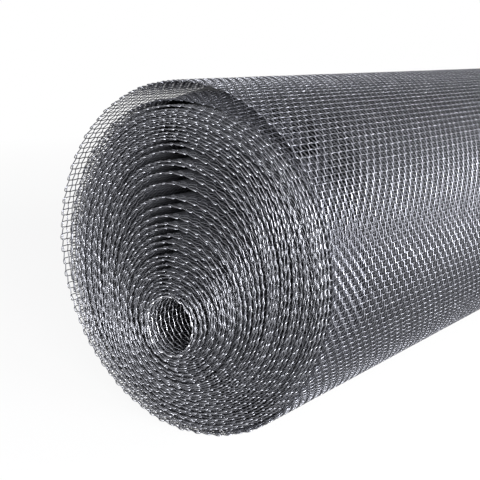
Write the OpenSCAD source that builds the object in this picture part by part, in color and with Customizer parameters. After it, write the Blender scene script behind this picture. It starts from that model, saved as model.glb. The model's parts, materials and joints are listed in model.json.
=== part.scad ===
// Loose roll of fine woven wire mesh, lying on its side along X.
// The turns have sagged: they lie packed under the bore and stand apart above it.

/* [Roll] */
// Width of the mesh, which is the length of the roll
roll_len = 500; // [200:10:1200]
// Radius of the outermost turn
roll_r = 60; // [55:0.5:90]
// Radius of the open bore in the middle
bore_r = 10; // [6:0.5:16]
// Thickness of the woven mesh, about two wires
mesh_t = 0.56; // [0.3:0.01:0.65]
// Lean of the sag line from plumb
sag_lean = 15; // [0:1:40]

/* [Turns] */
// Turns held close together just inside the outermost one
close_turns = 13; // [4:1:16]
// Turns standing wide apart further in
open_turns = 11; // [4:1:14]
// Turns between those and the bore
inner_turns = 15; // [8:1:24]

/* [Gaps] */
// Gap between any two turns where they lie packed, under the bore
packed_gap = 0.09; // [0.05:0.01:0.12]
// Gap inside the outermost turn at the top
loose_gap = 6.2; // [1:0.1:8]
// Gap between the close turns at the top
close_gap = 0.38; // [0.05:0.01:0.4]
// Gap between the open turns at the top
open_gap = 2.2; // [1:0.1:3.5]
// Depth of the gaps from each end
gap_depth = 60; // [5:1:120]

/* [Hidden] */
$fn = 180;
// one turn is loose, and the rest are close, open or inner
turns = 1 + close_turns + open_turns + inner_turns;
// the packed turns set how low the bore lies
packed_step = mesh_t + packed_gap;
bore_sag = roll_r - turns * packed_step - bore_r;
// heights of the turns at the top, up the sag line from the middle of the roll
close_start = roll_r - mesh_t - loose_gap;
open_start = close_start - close_turns * (mesh_t + close_gap);
inner_start = open_start - open_turns * (mesh_t + open_gap);
// the inner turns share what is left above the bore
inner_step = (inner_start - bore_r + bore_sag) / inner_turns;

// where the outside of turn k crosses the sag line, under and over the bore
function under(k) = -roll_r + k * packed_step;
function over(k) =
    k == 0 ? roll_r
    : k <= close_turns ? close_start - (k - 1) * (mesh_t + close_gap)
    : k <= close_turns + open_turns ? open_start - (k - 1 - close_turns) * (mesh_t + open_gap)
    : inner_start - (k - 1 - close_turns - open_turns) * inner_step;

// a disc that crosses the sag line at low and high
module disc(low, high)
    translate([0, (low + high) / 2])
        circle(d = high - low);

// the gap between the inside of turn k and the outside of the next
module turn_gap(k)
    difference() {
        disc(under(k) + mesh_t, over(k) - mesh_t);
        disc(under(k + 1), over(k + 1));
    }

module mesh_roll()
    color("silver")
        translate([-roll_len / 2, 0, roll_r])
            rotate([90, 0, 90])
                rotate([0, 0, sag_lean])
                    difference() {
                        cylinder(r = roll_r, h = roll_len);
                        translate([0, -bore_sag, -1])
                            cylinder(r = bore_r, h = roll_len + 2);
                        for (z = [-1, roll_len - gap_depth])
                            translate([0, 0, z])
                                linear_extrude(gap_depth + 1)
                                    for (k = [0 : turns - 2])
                                        turn_gap(k);
                    }

mesh_roll();
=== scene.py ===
# A loose roll of galvanised woven wire mesh, lying on its side.
import json
import math

import bmesh
import bpy
import numpy as np
from mathutils import Matrix, Vector


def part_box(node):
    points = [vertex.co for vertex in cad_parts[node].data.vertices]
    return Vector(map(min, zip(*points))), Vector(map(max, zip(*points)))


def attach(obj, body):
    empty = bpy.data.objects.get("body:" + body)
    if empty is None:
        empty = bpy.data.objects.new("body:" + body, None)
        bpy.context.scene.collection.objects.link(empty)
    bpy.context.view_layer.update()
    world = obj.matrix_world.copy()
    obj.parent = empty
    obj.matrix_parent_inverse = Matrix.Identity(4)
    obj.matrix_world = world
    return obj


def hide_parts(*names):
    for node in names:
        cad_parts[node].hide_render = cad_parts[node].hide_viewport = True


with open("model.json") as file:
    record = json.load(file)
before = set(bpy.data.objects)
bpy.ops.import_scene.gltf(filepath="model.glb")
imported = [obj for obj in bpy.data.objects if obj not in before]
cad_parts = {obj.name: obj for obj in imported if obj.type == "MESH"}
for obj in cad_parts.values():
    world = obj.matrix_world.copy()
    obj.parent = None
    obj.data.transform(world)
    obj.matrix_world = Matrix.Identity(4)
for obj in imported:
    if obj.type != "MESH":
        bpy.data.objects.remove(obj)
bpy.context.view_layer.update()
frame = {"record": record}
print("frame loaded")

mm = 0.001
node = "mesh_roll"
low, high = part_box(node)
bore = frame["record"]["mounts"][0]

# lengths in metres, angles in degrees about the bore, from +Y up over the top
roll = {
    "radius": (high.z - low.z) / 2,
    "centre": (high.z + low.z) / 2,
    "boreRadius": bore["dims"]["r_mm"] * mm,
    "boreY": bore["pos_m"][1],
    "boreZ": bore["pos_m"][2],
    "turns": 40,
    "step": 0.65 * mm,  # from turn to turn where they lie packed
    "freeEdge": 262,  # the mesh's outer end, tucked in underneath
    # where the loose outermost turn stands off, how wide and how far
    "bulges": ((48, 45, 5.6 * mm), (105, 25, 4.2 * mm)),
    "bulgeLimit": 0.8,  # share of the loose space that a bulge may take
    "closed": 32 * mm,  # this far in from the ends the next turn has come up to the loose one
    "sideGaps": (0.3, 1.7),  # how much the gaps beside and under the bore vary, about a mean of 1
    "samples": 240,  # points to a turn
}

# how many gaps and their shares of the loose space over the bore, going inwards
topGaps = (
    (1, 1.3),
    (1, 0.6),
    (6, 0.05),
    (1, 0.2),
    (2, 0.6),
    (2, 0.3),
    (1, 1.2),
    (1, 1.7),
    (1, 2.6),
    (1, 0.5),
    (1, 2.1),
    (1, 3.0),
    (1, 4.0),
    (2, 2.6),
    (1, 2.0),
    (1, 0.9),
    (1, 2.0),
    (2, 1.5),
    (1, 2.1),
    (1, 0.6),
    (2, 1.3),
    (7, 0.65),
)

# plain weave, 12 wires to the inch along the roll and 11 round it
# a ring runs along the mesh, round and round the roll, and a cross wire runs from end to end
weave = {
    "ringPitch": 25.4 / 12 * mm,
    "pitch": 25.4 / 11 * mm,
    "wire": 0.34 * mm,
    "sides": 3,
    "fullness": 1.21,  # a three-sided wire of this width covers as much as a round one
    "ringCrimp": 0.25 * mm,  # how far a wire swings to each side, over and under
    "crossCrimp": 0.19 * mm,
    "bend": 0.55 * mm,  # corner of a cross wire at the selvage
    "outerBend": 0.76 * mm,  # the loose turn's are rounder, and stand out as loops
    "bendSteps": 2,
    "endDepth": 3,  # rings of wire at each end of the inner turns
    "secondDepth": 9,  # and of the turn under the loose one
    "boreDepth": 16,  # and of the last turn, down the bore
    "outlineRoom": 1.1,  # wire widths from the solid's outline to the middle of the mesh
    "endRoom": 0.6,  # and from the solid's ends to the middle of the wire in the loose turn's bends
}

rng = np.random.default_rng(7)


def gapProfile(gaps):
    # share of the loose space that lies outside each turn
    total = np.concatenate(([0, 0], np.cumsum(gaps)))
    return total / total[-1]


def sideProfiles():
    # at 0, 90, 180 and 270 degrees, of which only the one over the bore is given
    top = np.concatenate([[gap] * count for count, gap in topGaps])
    beside = [rng.uniform(*roll["sideGaps"], len(top)) for side in range(3)]
    return [gapProfile(gaps) for gaps in (beside[0], top, beside[1], beside[2])]


def spiral():
    # the middle of the mesh along its whole length
    turn = np.linspace(0, roll["turns"], roll["turns"] * roll["samples"] + 1)
    angle = math.radians(roll["freeEdge"]) + 2 * math.pi * turn
    dirY, dirZ = np.cos(angle), np.sin(angle)
    offY, offZ = roll["boreY"], roll["boreZ"] - roll["centre"]
    outer = roll["radius"] - weave["wire"] * weave["outlineRoom"]
    along = offY * dirY + offZ * dirZ
    reach = -along + np.sqrt(along**2 + outer**2 - offY**2 - offZ**2)
    slack = reach - roll["boreRadius"] - roll["turns"] * roll["step"]
    loose = np.zeros_like(turn)
    for where, width, amount in roll["bulges"]:
        away = (np.degrees(angle) - where + 180) % 360 - 180
        loose += amount * np.exp(-((away / width) ** 2))
    loose = np.minimum(loose, roll["bulgeLimit"] * np.maximum(slack, 0))
    share = np.zeros_like(turn)
    quarter = (angle / (math.pi / 2)) % 4
    for side, profile in enumerate(sideProfiles()):  # blended from each side to the next
        near = np.abs((quarter - side + 2) % 4 - 2)
        weight = np.where(near < 1, np.cos(near * math.pi / 2) ** 2, 0)
        crossed = turn - (side * 90 - roll["freeEdge"]) / 360 % 1
        share += weight * np.interp(crossed, np.arange(len(profile)), profile)
    packed = reach - turn * roll["step"]
    radius = packed - np.where(turn >= 1, loose, 0) - (slack - loose) * share
    return offY + radius * dirY, roll["centre"] + offZ + radius * dirZ, loose


pathY, pathZ, pathLoose = spiral()
pathS = np.concatenate(([0], np.cumsum(np.hypot(np.diff(pathY), np.diff(pathZ)))))
slopeY, slopeZ = np.gradient(pathY, pathS), np.gradient(pathZ, pathS)
turnLengths = pathS[:: roll["samples"]]


def wholePairs(length):
    # cross wires come in pairs, so each stretch of mesh holds an even number
    return int(length / weave["pitch"] / 2) * 2


cellsAt = [wholePairs(length) for length in turnLengths]  # where each turn begins
margin = weave["outerBend"] + weave["endRoom"] * weave["wire"]
width = high.x - low.x - 2 * margin
spans = int(round(width / weave["ringPitch"]))
ringPitch = width / spans
firstRing = low.x + margin
meshLength = round(pathS[-1], 2)
print("mesh", meshLength, "m long with", cellsAt[-1], "cross wires,", cellsAt[1], "on the outside")

# how unevenly the mesh lies, most of it as a seed, the length of a wave and how far it goes
uneven = {
    "along": (3, 31 * mm, 0.05 * mm),  # in and out along the mesh
    "slanting": (4, 23 * mm, 0.05 * mm),  # and slantwise over it
    "sunk": 0.1 * mm,  # so that no wave stands out past the solid
    "curl": (6, 11 * mm, 0.3),  # selvage bends curl in or out by this slope
    "curlFrom": 0.1 * mm,  # inside the middle of the last ring
    "depth": (5, 2.6, 1.4 * mm),  # some turns end deeper, and this wave is counted in turns
    "meanDepth": 0.5 * mm,
    "sines": 4,
    "sineLengths": (0.6, 1.8),  # of the wave's length
}


def wander(values, seed, wave, size):
    # a slow, uneven wave, made of sines of different lengths
    draw = np.random.default_rng(seed)
    total = np.zeros_like(values)
    for n in range(uneven["sines"]):
        length = wave * draw.uniform(*uneven["sineLengths"])
        start = draw.uniform(0, 6.28)
        total += np.sin(values * 2 * math.pi / length + start)
    return total * size / uneven["sines"]


def wrapRound(mesh, lift):
    # bends flat cloth, length along Y and thickness along Z, onto the spiral
    flat = np.empty(len(mesh.vertices) * 3, np.float32)
    mesh.vertices.foreach_get("co", flat)
    x, s, h = flat.reshape(-1, 3).T.astype(float)  # across the mesh, along it and off it
    crimp = np.cos(math.pi * (x - firstRing) / ringPitch) * np.cos(math.pi * s / weave["pitch"])
    h = h + lift * crimp
    waves = wander(s, *uneven["along"]) + wander(x + s, *uneven["slanting"])
    h = h - (waves + uneven["sunk"])
    beyond = np.clip(np.abs(x) - (spans * ringPitch / 2 - uneven["curlFrom"]), 0, None)
    h = h + beyond * wander(s, *uneven["curl"])
    across = np.clip((x - low.x) / (high.x - low.x), 0, 1)
    turn = np.interp(s, turnLengths, np.arange(len(turnLengths)))
    closing = np.clip((high.x - np.abs(x)) / roll["closed"], 0, 1) ** 2
    h = h + np.where((turn > 1) & (turn < 2), closing * np.interp(s, pathS, pathLoose), 0)
    inset = np.clip(uneven["meanDepth"] + wander(turn, *uneven["depth"]), 0, None)
    x = x + (1 - 2 * across) * inset
    y, z = np.interp(s, pathS, pathY), np.interp(s, pathS, pathZ)
    turnY, turnZ = np.interp(s, pathS, slopeY), np.interp(s, pathS, slopeZ)
    size = np.hypot(turnY, turnZ)
    y, z = y + h * turnZ / size, z - h * turnY / size
    mesh.vertices.foreach_set("co", np.stack([x, y, z], 1).astype(np.float32).ravel())
    mesh.update()


def openEdges(made):
    return [part for part in made["geom_last"] if isinstance(part, bmesh.types.BMEdge)]


def drag(bm, edges, move, steps):
    # draws an open end along in a straight line, in even steps
    made = bmesh.ops.spin(
        bm, geom=edges, cent=(0, 0, 0), axis=(0, 0, 1), dvec=Vector(move) * steps, angle=0, steps=1
    )
    last = openEdges(made)
    corners = dict.fromkeys(corner for edge in last for corner in edge.verts)
    lengthwise = [edge for corner in corners for edge in corner.link_edges if edge not in last]
    if steps > 1:
        bmesh.ops.subdivide_edges(bm, edges=lengthwise, cuts=steps - 1)
    return last


def bendRound(bm, edges, pivot, turn):
    made = bmesh.ops.spin(
        bm, geom=edges, cent=pivot, axis=(0, 0, turn), angle=math.pi / 2, steps=weave["bendSteps"]
    )
    return openEdges(made)


def wireEnd(bm, place, towards):
    # an open section across the wire
    turn = Vector((0, 0, 1)).rotation_difference(Vector(towards)).to_matrix().to_4x4()
    made = bmesh.ops.create_circle(
        bm,
        segments=weave["sides"],
        radius=weave["wire"] / 2 * weave["fullness"],
        matrix=Matrix.Translation(place) @ turn,
    )
    return list(dict.fromkeys(edge for corner in made["verts"] for edge in corner.link_edges))


def finishPiece(name, bm, material, lift, apart=(0, 0, 0), times=1):
    # closes the ends, repeats the piece and wraps it round the roll
    for edge in bm.edges:
        # a wire is round with a bend at each crossing, and a band is flat with square sides
        corner = abs(edge.calc_face_angle(0)) > math.radians(30)
        edge.smooth = corner if lift else not corner
    bmesh.ops.holes_fill(bm, edges=[edge for edge in bm.edges if edge.is_boundary], sides=0)
    bmesh.ops.recalc_face_normals(bm, faces=bm.faces)
    mesh = bpy.data.meshes.new(name)
    bm.to_mesh(mesh)
    bm.free()
    piece = bpy.data.objects.new(name, mesh)
    bpy.context.scene.collection.objects.link(piece)
    if times > 1:
        array = piece.modifiers.new("repeat", "ARRAY")
        array.use_relative_offset = False
        array.use_constant_offset = True
        array.constant_offset_displace = apart
        array.count = times
        bpy.context.view_layer.update()
        shown = piece.evaluated_get(bpy.context.evaluated_depsgraph_get())
        piece.data = bpy.data.meshes.new_from_object(shown)
        piece.modifiers.clear()
        piece.data.name = name
    wrapRound(piece.data, lift)
    piece.data.shade_smooth()
    piece.data.materials.append(material)
    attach(piece, "root")
    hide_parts(node)
    print(name, sum(len(face.vertices) - 2 for face in piece.data.polygons), "triangles")


def rings(name, first, last, fromCell, toCell, material):
    # wires that run the length of the mesh, round and round the roll
    bm = bmesh.new()
    start = Vector((firstRing + first * ringPitch, fromCell * weave["pitch"], 0))
    drag(bm, wireEnd(bm, start, (0, 1, 0)), (0, weave["pitch"], 0), toCell - fromCell)
    times = last - first + 1
    finishPiece(name, bm, material, -weave["ringCrimp"], (ringPitch, 0, 0), times)


def crossWires(name, nearSide, reach, fromCell, toCell, material, bend=weave["bend"]):
    # one wire runs to and fro across the mesh and turns back round the last ring
    bm = bmesh.new()
    pitch = weave["pitch"]
    side = 1 if nearSide else -1
    edgeRing = firstRing if nearSide else firstRing + spans * ringPitch
    first = fromCell + (0 if nearSide else 1)  # the far bends join what the near ones leave apart
    end = wireEnd(bm, Vector((edgeRing + side * reach * ringPitch, first * pitch, 0)), (1, 0, 0))
    end = drag(bm, end, (-side * ringPitch, 0, 0), reach)
    end = bendRound(bm, end, (edgeRing, first * pitch + bend, 0), -side)
    end = drag(bm, end, (0, pitch - 2 * bend, 0), 1)
    end = bendRound(bm, end, (edgeRing, (first + 1) * pitch - bend, 0), -side)
    drag(bm, end, (side * ringPitch, 0, 0), reach)
    times = (toCell - fromCell) // 2
    finishPiece(name, bm, material, weave["crossCrimp"], (0, 2 * pitch, 0), times)


def bothEnds(name, depth, fromCell, toCell, material):
    # real wires for a little way in from each end
    rings(name + "_rings_near", 0, depth - 1, fromCell, toCell, material)
    rings(name + "_rings_far", spans - depth + 1, spans, fromCell, toCell, material)
    crossWires(name + "_wefts_near", True, depth, fromCell, toCell, material)
    crossWires(name + "_wefts_far", False, depth, fromCell, toCell, material)


# past that depth each turn is a thin band with the weave in its material
# the strips let the second turn close up to the loose one, in from the ends
band = {"thickness": 0.2 * mm, "strips": 26}


def meshBand(name, depth, fromCell, toCell, material, strips=1):
    bm = bmesh.new()
    pitch = weave["pitch"]
    inset = (depth - 0.5) * ringPitch  # half a cell under the real wires
    left, right = firstRing + inset, firstRing + spans * ringPitch - inset
    half = band["thickness"] / 2
    across = [left + (right - left) * n / strips for n in range(strips + 1)]
    section = [(x, -half) for x in across] + [(x, half) for x in reversed(across)]
    corners = [bm.verts.new((x, fromCell * pitch, z)) for x, z in section]
    end = [bm.edges.new((corners[n - 1], corners[n])) for n in range(len(corners))]
    drag(bm, end, (0, pitch, 0), toCell - fromCell)
    cloth = bm.loops.layers.uv.new("cloth")
    for face in bm.faces:
        for loop in face.loops:
            loop[cloth].uv = ((loop.vert.co.x - firstRing) / mm, loop.vert.co.y / mm)
    finishPiece(name, bm, material, 0)


def linear(hexColour):
    shares = [int(hexColour[n : n + 2], 16) / 255 for n in (1, 3, 5)]
    return [a / 12.92 if a <= 0.04045 else ((a + 0.055) / 1.055) ** 2.4 for a in shares] + [1]


def addNode(tree, kind, settings=None, **inputs):
    # a node with its settings, and values or links into its inputs
    made = tree.nodes.new(kind)
    for name, value in (settings or {}).items():
        setattr(made, name, value)
    for name, value in inputs.items():
        plain = name.replace("_", " ")
        socket = made.inputs[int(name[1:])] if name[1:].isdigit() else made.inputs[plain]
        if isinstance(value, bpy.types.NodeSocket):
            tree.links.new(value, socket)
        else:
            socket.default_value = value
    return made


def newMaterial(name):
    material = bpy.data.materials.new(name)
    material.use_nodes = True
    tree = material.node_tree
    return material, tree, tree.nodes["Principled BSDF"]


def galvanisedWire(name, look):
    # hot-dip galvanised steel wire: satin zinc, dull in patches and bright where it was rubbed
    material, tree, shader = newMaterial(name)
    place = addNode(tree, "ShaderNodeTexCoord").outputs["Object"]
    patches = addNode(
        tree, "ShaderNodeTexNoise", Vector=place, Scale=1 / look["patch"], Detail=3.0
    ).outputs[0]
    colour = addNode(
        tree,
        "ShaderNodeMix",
        {"data_type": "RGBA"},
        i0=patches,
        i6=linear(look["dull"]),
        i7=linear(look["bright"]),
    )
    tree.links.new(colour.outputs[2], shader.inputs["Base Color"])
    rough = addNode(
        tree, "ShaderNodeMapRange", Value=patches, To_Min=look["rough"], To_Max=look["smooth"]
    )
    tree.links.new(rough.outputs[0], shader.inputs["Roughness"])
    shader.inputs["Metallic"].default_value = 1
    return material


wovenLook = {
    "wireHalf": 0.17,  # in millimetres, as the band's own map is
    "soft": 0.1,  # and how far a wire's edge blurs
    "shine": 0.38,  # roughness on top of a wire
    "deep": 0.75,  # and down in a hole
    "level": 0.6,  # mean height of a wire
    "swing": 0.4,  # and how far it goes over and under
    "relief": 2 * weave["wire"],
}


def wovenLayers(name, hole, wire):
    # whole layers of the galvanised cloth: crimped wires stand bright over holes whose dark colour
    # is painted shade of the layers deeper in the roll
    material, tree, shader = newMaterial(name)
    shader.inputs["Metallic"].default_value = 1
    uv = addNode(tree, "ShaderNodeUVMap", {"uv_map": "cloth"}).outputs[0]
    parts = addNode(tree, "ShaderNodeSeparateXYZ", Vector=uv)
    waves, masks = [], []
    for axis, pitch in ((0, ringPitch / mm), (1, weave["pitch"] / mm)):
        turned = addNode(
            tree,
            "ShaderNodeMath",
            {"operation": "MULTIPLY"},
            i0=parts.outputs[axis],
            i1=math.pi / pitch,
        ).outputs[0]
        waves.append(addNode(tree, "ShaderNodeMath", {"operation": "COSINE"}, i0=turned).outputs[0])
        off = addNode(
            tree,
            "ShaderNodeMath",
            {"operation": "PINGPONG"},
            i0=parts.outputs[axis],
            i1=pitch / 2,
        ).outputs[0]
        masks.append(
            addNode(
                tree,
                "ShaderNodeMapRange",
                {"interpolation_type": "SMOOTHSTEP"},
                Value=off,
                From_Min=wovenLook["wireHalf"] - wovenLook["soft"],
                From_Max=wovenLook["wireHalf"] + wovenLook["soft"],
                To_Min=1.0,
                To_Max=0.0,
            ).outputs[0]
        )
    crimp = addNode(
        tree, "ShaderNodeMath", {"operation": "MULTIPLY"}, i0=waves[0], i1=waves[1]
    ).outputs[0]
    heights = []
    for mask, swing in zip(masks, (-wovenLook["swing"], wovenLook["swing"])):
        raised = addNode(
            tree,
            "ShaderNodeMath",
            {"operation": "MULTIPLY_ADD"},
            i0=crimp,
            i1=swing,
            i2=wovenLook["level"],
        ).outputs[0]
        heights.append(
            addNode(tree, "ShaderNodeMath", {"operation": "MULTIPLY"}, i0=mask, i1=raised).outputs[0]
        )
    height = addNode(
        tree, "ShaderNodeMath", {"operation": "MAXIMUM"}, i0=heights[0], i1=heights[1]
    ).outputs[0]
    colour = addNode(
        tree, "ShaderNodeMix", {"data_type": "RGBA"}, i0=height, i6=linear(hole), i7=linear(wire)
    )
    tree.links.new(colour.outputs[2], shader.inputs["Base Color"])
    rough = addNode(
        tree,
        "ShaderNodeMapRange",
        Value=height,
        To_Min=wovenLook["deep"],
        To_Max=wovenLook["shine"],
    )
    tree.links.new(rough.outputs[0], shader.inputs["Roughness"])
    bump = addNode(
        tree, "ShaderNodeBump", Height=height, Distance=wovenLook["relief"], Strength=1.0
    )
    tree.links.new(bump.outputs[0], shader.inputs["Normal"])
    return material


# one galvanised zinc in copies that paint light and shade, of which the outer turn's is the plain
# one
# patch is the length over which the zinc goes from dull to bright and back
outerZinc = {"dull": "#4c4d53", "bright": "#8a8b92", "patch": 5 * mm, "smooth": 0.24, "rough": 0.4}
# painted shade: the turn under the loose one is darker, as if in its shade
paintedShadeZinc = {"dull": "#3c3d43", "bright": "#707178", "patch": 5 * mm, "smooth": 0.3, "rough": 0.5}
# painted light: the ends of the inner turns are lighter than the outer turn
paintedLightInnerZinc = {"dull": "#616268", "bright": "#9e9fa5", "patch": 5 * mm, "smooth": 0.34, "rough": 0.5}
# painted light: the bore is lighter still, where the lamps hardly reach
paintedLightBoreZinc = {"dull": "#9a9ba1", "bright": "#d2d3d9", "patch": 5 * mm, "smooth": 0.3, "rough": 0.45}
outerWire = galvanisedWire("outerGalvanisedWire", outerZinc)
secondWire = galvanisedWire("paintedShadeGalvanisedWire", paintedShadeZinc)
innerWire = galvanisedWire("paintedLightInnerGalvanisedWire", paintedLightInnerZinc)
boreWire = galvanisedWire("paintedLightBoreGalvanisedWire", paintedLightBoreZinc)

# a hole's colour and a wire's, in the shade of the next turn and open to the light
shadedLayers = wovenLayers("shadedWireCloth", "#0c0c0e", "#626369")
openLayers = wovenLayers("openWireCloth", "#424348", "#a4a5ab")
print("materials made")

middle = spans // 2
outerCells = cellsAt[1]
last = roll["turns"] - 1
rings("outer_rings_near", 0, middle, 0, outerCells, outerWire)
rings("outer_rings_far", middle + 1, spans, 0, outerCells, outerWire)
crossWires("outer_wefts_near", True, middle, 0, outerCells, outerWire, weave["outerBend"])
crossWires("outer_wefts_far", False, spans - middle, 0, outerCells, outerWire, weave["outerBend"])
for name, depth, fromTurn, toTurn, material in (
    ("second", weave["secondDepth"], 1, 2, secondWire),
    ("inner", weave["endDepth"], 2, last, innerWire),
    ("bore", weave["boreDepth"], last, last + 1, boreWire),
):
    bothEnds(name, depth, cellsAt[fromTurn], cellsAt[toTurn], material)
meshBand(
    "second_turn", weave["secondDepth"], outerCells, cellsAt[2], shadedLayers, band["strips"]
)
for name, depth, fromTurn, toTurn, material in (
    ("third_turn", weave["endDepth"], 2, 3, shadedLayers),
    ("inner_turns", weave["endDepth"], 3, last - 1, openLayers),
    ("last_turn", weave["endDepth"], last - 1, last, shadedLayers),
    ("bore_turn", weave["boreDepth"], last, last + 1, openLayers),
):
    meshBand(name, depth, cellsAt[fromTurn], cellsAt[toTurn], material)

# camera 0.3 m from the middle of the near end, a little above the rim
camera = {
    "lens": 68.1,
    "offset": Vector((-3.6425, -3.2316, 1.1378)),  # from that middle, in roll radii
    "forward": Vector((0.7744, 0.5991, -0.2036)),
}


def placeCamera():
    data = bpy.data.cameras.new("camera")
    data.lens = camera["lens"]
    data.clip_start = 0.01
    eye = bpy.data.objects.new("camera", data)
    nearEnd = Vector((low.x, (low.y + high.y) / 2, roll["centre"]))
    eye.location = nearEnd + camera["offset"] * roll["radius"]
    eye.rotation_euler = camera["forward"].to_track_quat("-Z", "Y").to_euler()
    bpy.context.scene.collection.objects.link(eye)
    bpy.context.scene.camera = eye


def areaLight(name, place, aim, size, power):
    data = bpy.data.lights.new(name, "AREA")
    data.shape = "RECTANGLE"
    data.size, data.size_y = size
    data.energy = power
    lamp = bpy.data.objects.new(name, data)
    lamp.location = place
    lamp.rotation_euler = (Vector(aim) - Vector(place)).to_track_quat("-Z", "Y").to_euler()
    bpy.context.scene.collection.objects.link(lamp)


studioLook = {
    # place, aim, size and watts
    "lamps": {
        "front": ((-0.95, -1.05, 0.2), (-0.2, 0, 0.06), (0.6, 0.3), 49),
        "end": ((-1.4, -0.5, 0.5), (-0.2, 0, 0.06), (0.6, 0.6), 10),
        "key": ((-0.2, -1.3, 0.14), (-0.1, 0, 0.06), (0.6, 0.22), 31),
        "back": ((0.9, -1.12, 0.36), (-0.1, 0, 0.06), (0.6, 0.4), 33),
    },
    "fill": (0.26, 0.265, 0.28, 1),  # weak light from all round
    "floor": "#f2f2f2",
    "floorReach": 4,  # metres to each side
    "floorRoughness": 0.9,
    "glow": (0.4, 1, 0.88, 1),  # from and to this far out, and the floor's share of white there
}


def whiteTo(tree, share):
    # rays from the camera, and those that metal reflects, see the white
    path = addNode(tree, "ShaderNodeLightPath").outputs
    seen = path["Is Camera Ray"]
    for ray in ("Is Glossy Ray", "Is Transmission Ray"):
        seen = addNode(
            tree, "ShaderNodeMath", {"operation": "MAXIMUM"}, i0=seen, i1=path[ray]
        ).outputs[0]
    return addNode(
        tree, "ShaderNodeMath", {"operation": "MULTIPLY"}, i0=seen, i1=share
    ).outputs[0]


def studio():
    placeCamera()
    for name, lamp in studioLook["lamps"].items():
        areaLight(name, *lamp)
    world = bpy.data.worlds.new("studio")
    bpy.context.scene.world = world
    world.use_nodes = True
    tree = world.node_tree
    seen = whiteTo(tree, 1)
    shade = addNode(
        tree,
        "ShaderNodeMix",
        {"data_type": "RGBA"},
        i0=seen,
        i6=studioLook["fill"],
        i7=(1, 1, 1, 1),
    )
    tree.links.new(shade.outputs[2], tree.nodes["Background"].inputs["Color"])
    bm = bmesh.new()
    bmesh.ops.create_grid(bm, x_segments=1, y_segments=1, size=studioLook["floorReach"])
    mesh = bpy.data.meshes.new("floor")
    bm.to_mesh(mesh)
    bm.free()
    floor = bpy.data.objects.new("floor", mesh)
    bpy.context.scene.collection.objects.link(floor)
    # matt pale paper, which mirrors nothing and shows only the roll's shadow
    paper, tree, shader = newMaterial("palePaper")
    shader.inputs["Base Color"].default_value = linear(studioLook["floor"])
    shader.inputs["Roughness"].default_value = studioLook["floorRoughness"]
    glow = addNode(tree, "ShaderNodeEmission", Color=(1, 1, 1, 1), Strength=1.0)
    place = addNode(tree, "ShaderNodeTexCoord").outputs["Object"]
    away = addNode(tree, "ShaderNodeVectorMath", {"operation": "LENGTH"}, i0=place).outputs["Value"]
    near, far, nearShare, farShare = studioLook["glow"]
    fade = addNode(
        tree,
        "ShaderNodeMapRange",
        Value=away,
        From_Min=near,
        From_Max=far,
        To_Min=nearShare,
        To_Max=farShare,
    )
    share = whiteTo(tree, fade.outputs[0])
    both = addNode(tree, "ShaderNodeMixShader", i0=share, i1=shader.outputs[0], i2=glow.outputs[0])
    tree.links.new(both.outputs[0], tree.nodes["Material Output"].inputs["Surface"])
    mesh.materials.append(paper)
    bpy.context.scene.view_settings.view_transform = "Standard"
    print("studio set")


studio()
